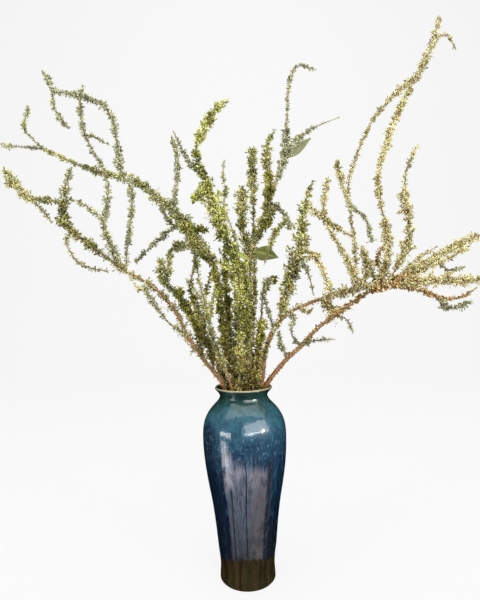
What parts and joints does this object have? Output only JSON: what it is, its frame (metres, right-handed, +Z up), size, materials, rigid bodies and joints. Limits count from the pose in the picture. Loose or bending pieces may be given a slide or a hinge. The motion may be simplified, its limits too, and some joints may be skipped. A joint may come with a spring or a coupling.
{
  "type": "spiraea branches in vase",
  "caption": "Tall shouldered blue-glazed vase with a flared lip, part filled with water and holding a wide spray of arching leafy branches.",
  "frame": {"origin": "centre of the vase's flat underside", "axes": "+Z up along the vase's axis, +X to the right of the side it is seen from, +Y away from that side"},
  "size_m": [1.2157, 0.4136, 1.3245],
  "materials": {
    "glaze": "glossy blue-green stoneware glaze over a brown foot",
    "water": "clear, still",
    "leaf": "soft satin leaves",
    "bark": "thin red-brown bark"
  },
  "bodies": {
    "root": {"vase": "glaze", "water": "water", "branch_low_left": "bark", "branch_high_left": "leaf", "branch_left_inner": "leaf", "branch_left_short": "leaf", "branch_arching": "leaf", "branch_thin": "leaf", "branch_dense": "leaf", "branch_upright": "leaf", "branch_tall": "leaf", "branch_right_green": "leaf", "branch_upper_right": "bark", "branch_lower_right": "bark", "branch_mouth_left": "leaf", "branch_mouth_front_left": "leaf", "branch_mouth_front": "leaf", "branch_mouth_back": "leaf", "branch_mouth_right": "leaf", "branch_mouth_low": "leaf"}
  },
  "joints": []
}
